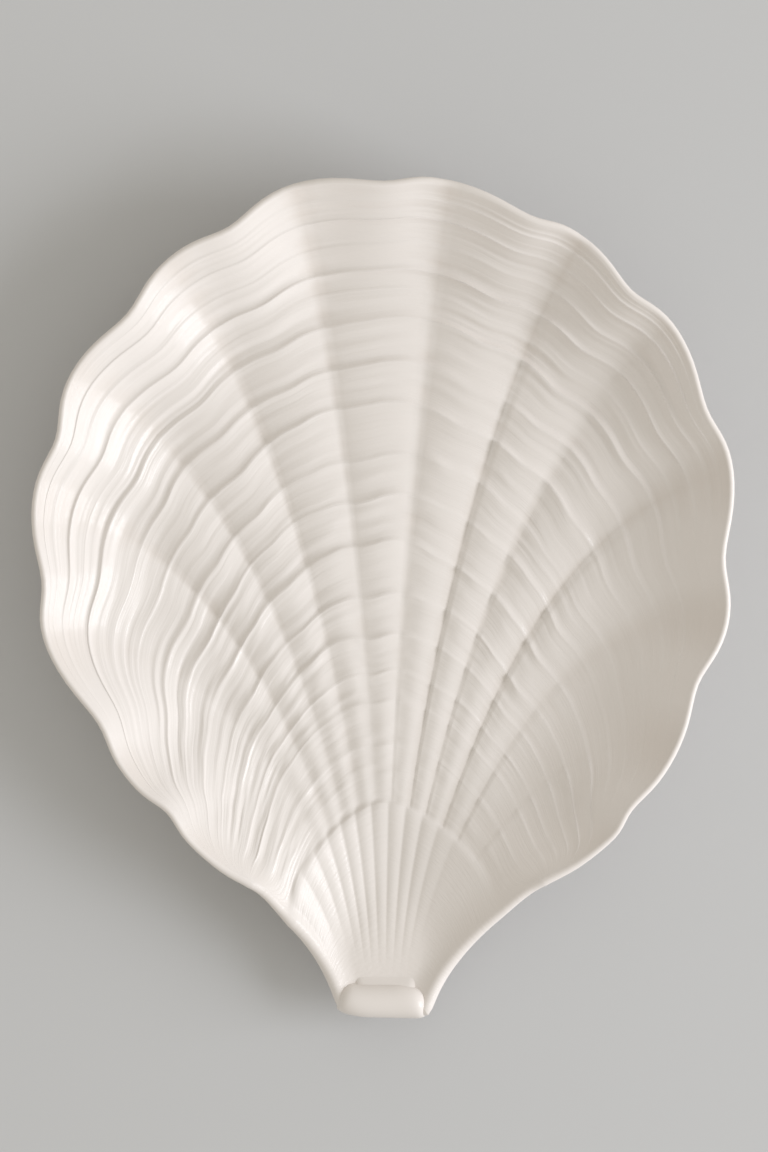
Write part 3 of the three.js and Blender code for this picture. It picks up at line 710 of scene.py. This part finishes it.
def hinge_strip(name, x, across, end_y, front_y, edge, height, shape):
    """Soft strip across the neck between two edges, end_y and front_y, given at each place x across it.

    It has a base sunk in the clay and a top of the given shape, from its edge's height to its full height
    above the neck's floor; along and across run from -1 to 1.
    """
    along = -np.cos(np.pi * np.linspace(0, 1, STRIP_ROWS + 1))[:, None]
    y = mix(end_y, front_y, (1 + along) / 2)
    x = np.broadcast_to(x, y.shape)
    floor = dish(np.stack([np.zeros_like(y), np.maximum(y, TAB_Y)], -1))[0]
    under = floor - STRIP_SINK
    over = floor + mix(edge, height, shape(along, across))
    number = np.arange(x.size).reshape(x.shape)
    border = np.concatenate([number[0, :-1], number[:-1, -1], number[-1, :0:-1], number[:0:-1, 0]])
    after = np.roll(border, -1)
    sides = np.stack([border, border + x.size, after + x.size, after], -1)
    points = np.concatenate([np.stack([x, y, z], -1).reshape(-1, 3) for z in (over, under)])
    faces = [*quads(number).tolist(), *quads(number + x.size)[:, ::-1].tolist(), *sides.tolist()]
    return mesh_piece(name, points, faces)


def hinge_lip():
    """Rolled lip: a pillow with round corners, its end edge a little slanted."""
    across = -np.cos(np.pi * np.linspace(0, 1, STRIP_COLUMNS + 1))
    x = LIP_HALF_LENGTH * across
    end_y = LIP_END_Y - LIP_END_SLANT * x + corner_cut(x, LIP_HALF_LENGTH, LIP_END_CORNERS)
    front_y = LIP_FRONT_Y - corner_cut(x, LIP_HALF_LENGTH, LIP_FRONT_CORNERS)
    place = LIP_MIDDLE_X + x
    return hinge_strip("hinge_lip_rolled", place, across, end_y, front_y, LIP_EDGE, LIP_HEIGHT, pillow)


def hinge_ledge():
    """Low ledge in front of the lip, tucked under it."""
    across = -np.cos(np.pi * np.linspace(0, 1, STRIP_COLUMNS + 1))
    x = LEDGE_HALF_LENGTH * across
    front_y = LEDGE_FRONT_Y - corner_cut(x, LEDGE_HALF_LENGTH, LEDGE_CORNERS)
    end_y = np.full_like(x, LIP_FRONT_Y - LEDGE_TUCK - LEDGE_CORNERS[0][1])
    place = LEDGE_MIDDLE_X + x
    return hinge_strip("hinge_ledge_low", place, across, end_y, front_y, LEDGE_EDGE, LEDGE_HEIGHT, ramp)


def foot_ring():
    """Foot ring: a closed profile with a rounded tread, turned about the foot's middle."""
    rounding = [(-FOOT_TREAD / 2 - past, height) for past, height in FOOT_ROUNDING]
    inner = [(-FOOT_TOP_WIDTH / 2, FOOT_HEIGHT), *rounding]
    outer = [(-across, height) for across, height in inner[::-1]]
    profile = np.array(inner + outer)
    turn = np.linspace(0, 2 * np.pi, FOOT_STEPS, endpoint=False)[:, None]
    reach = FOOT_RADIUS + profile[:, 0]
    height = np.broadcast_to(profile[:, 1], (FOOT_STEPS, len(profile)))
    points = np.stack([np.cos(turn) * reach, np.sin(turn) * reach + FOOT_MIDDLE_Y, height], -1)
    number = np.arange(FOOT_STEPS * len(profile)).reshape(FOOT_STEPS, len(profile))
    number = np.concatenate([number, number[:1]])
    number = np.concatenate([number, number[:, :1]], 1)
    return mesh_piece("foot_ring_turned", points.reshape(-1, 3), quads(number)[:, ::-1].tolist())


def node(tree, kind, **inputs):
    """Shader node with its input values set."""
    made = tree.nodes.new(kind)
    for name, value in inputs.items():
        made.inputs[name.replace("_", " ")].default_value = value
    return made


def new_material(name, roughness):
    """Material of a given roughness: (material, its node tree, its shader)."""
    material = bpy.data.materials.new(name)
    material.use_nodes = True
    shader = material.node_tree.nodes["Principled BSDF"]
    shader.inputs["Roughness"].default_value = roughness
    return material, material.node_tree, shader


def colour_ramp(tree, stops):
    """Colour ramp between two stops, (place, colour)."""
    made = tree.nodes.new("ShaderNodeValToRGB")
    for element, (place, colour) in zip(made.color_ramp.elements, stops):
        element.position = place
        element.color = colour
    return made


def bump(tree, texture, shader, strength, height):
    """Raises a shader's surface by a texture, with the height in millimetres."""
    made = node(tree, "ShaderNodeBump", Strength=strength, Distance=height * MM)
    tree.links.new(texture.outputs["Fac"], made.inputs["Height"])
    tree.links.new(made.outputs["Normal"], shader.inputs["Normal"])


def glaze_material():
    """Glossy cream-white glaze: it pools a little deeper in the hollows and has faint striae."""
    material, tree, shader = new_material("cream_glaze", GLAZE_ROUGHNESS)
    link = tree.links.new
    shader.inputs["Specular IOR Level"].default_value = GLAZE_SPECULAR
    depth = tree.nodes.new("ShaderNodeAttribute")
    depth.attribute_name = "depth"
    level = node(tree, "ShaderNodeMapRange", From_Min=-GLAZE_DEPTH, From_Max=GLAZE_DEPTH)
    pool = colour_ramp(tree, GLAZE_POOL)
    link(depth.outputs["Fac"], level.inputs["Value"])
    link(level.outputs["Result"], pool.inputs["Fac"])
    link(pool.outputs["Color"], shader.inputs["Base Color"])
    place = tree.nodes.new("ShaderNodeUVMap")
    place.uv_map = "shell"
    stretch = node(tree, "ShaderNodeMapping", Scale=STRIAE_STRETCH)
    striae = node(tree, "ShaderNodeTexNoise", Scale=1.0, Detail=3.0, Roughness=0.6)
    link(place.outputs["UV"], stretch.inputs["Vector"])
    link(stretch.outputs["Vector"], striae.inputs["Vector"])
    bump(tree, striae, shader, STRIAE_STRENGTH, STRIAE_HEIGHT)
    return material


def clay_material():
    """Bare matt clay: a fine sandy grain in its colour and surface."""
    material, tree, shader = new_material("bare_clay", CLAY_ROUGHNESS)
    place = tree.nodes.new("ShaderNodeTexCoord")
    grain = node(tree, "ShaderNodeTexNoise", Scale=CLAY_GRAINS_A_METRE, Detail=4.0, Roughness=0.65)
    tint = colour_ramp(tree, CLAY_GRAINS)
    tree.links.new(place.outputs["Object"], grain.inputs["Vector"])
    tree.links.new(grain.outputs["Fac"], tint.inputs["Fac"])
    tree.links.new(tint.outputs["Color"], shader.inputs["Base Color"])
    bump(tree, grain, shader, CLAY_GRAIN_STRENGTH, CLAY_GRAIN_HEIGHT)
    return material


def finish_piece(piece, cad_node, material):
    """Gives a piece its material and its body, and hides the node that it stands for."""
    piece.data.materials.append(material)
    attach(piece, "root")
    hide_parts(cad_node)


def place_object(name, data, location):
    """Object with the given data at a place in millimetres, in the scene."""
    made = bpy.data.objects.new(name, data)
    made.location = Vector(location) * MM
    bpy.context.scene.collection.objects.link(made)
    return made


def pale_floor():
    """Plain pale floor that the plate stands on."""
    half = FLOOR_HALF_WIDTH * MM
    mesh = bpy.data.meshes.new("floor")
    corners = [(-half, -half, 0), (half, -half, 0), (half, half, 0), (-half, half, 0)]
    mesh.from_pydata(corners, [], [(0, 1, 2, 3)])
    material, _, shader = new_material("pale_floor", FLOOR_ROUGHNESS)
    shader.inputs["Base Color"].default_value = FLOOR_COLOUR
    mesh.materials.append(material)
    place_object("floor", mesh, (0, 0, 0))


def soft_light():
    """Even sky, and a large lamp low on the right that is aimed at the plate."""
    world = bpy.data.worlds.new("soft_sky")
    bpy.context.scene.world = world
    world.use_nodes = True
    sky = world.node_tree.nodes["Background"]
    sky.inputs["Color"].default_value = SKY_COLOUR
    sky.inputs["Strength"].default_value = SKY_STRENGTH
    lamp = bpy.data.lights.new("window", "AREA")
    lamp.size = LAMP_SIZE * MM
    lamp.energy = LAMP_POWER
    lamp.color = LAMP_COLOUR
    azimuth = math.radians(LAMP_AZIMUTH)
    elevation = math.radians(LAMP_ELEVATION)
    flat = math.cos(elevation) * LAMP_DISTANCE
    location = (flat * math.cos(azimuth), flat * math.sin(azimuth), math.sin(elevation) * LAMP_DISTANCE)
    holder = place_object("window", lamp, location)
    view = Vector((0, 0, LAMP_AIM_Z)) - Vector(location)
    holder.rotation_euler = view.to_track_quat("-Z", "Y").to_euler()


def camera_above():
    """Camera straight above, with a lens that gives the photograph's scale at the rim's height."""
    camera = bpy.data.cameras.new("camera")
    camera.sensor_fit = "HORIZONTAL"
    camera.sensor_width = CAMERA_SENSOR
    camera.lens = CAMERA_SENSOR * (CAMERA_HEIGHT - RIM_VIEW_Z) / (MM_A_PIXEL * FRAME_WIDTH_PIXELS)
    bpy.context.scene.camera = place_object("camera", camera, (0, FRAME_MIDDLE_Y, CAMERA_HEIGHT))
    bpy.context.scene.view_settings.view_transform = "Standard"


glaze = glaze_material()
clay = clay_material()
finish_piece(shell_body(), "shell_body", glaze)
finish_piece(hinge_lip(), "hinge_lip", glaze)
finish_piece(hinge_ledge(), "hinge_ledge", glaze)
finish_piece(foot_ring(), "foot_ring", clay)
pale_floor()
soft_light()
camera_above()
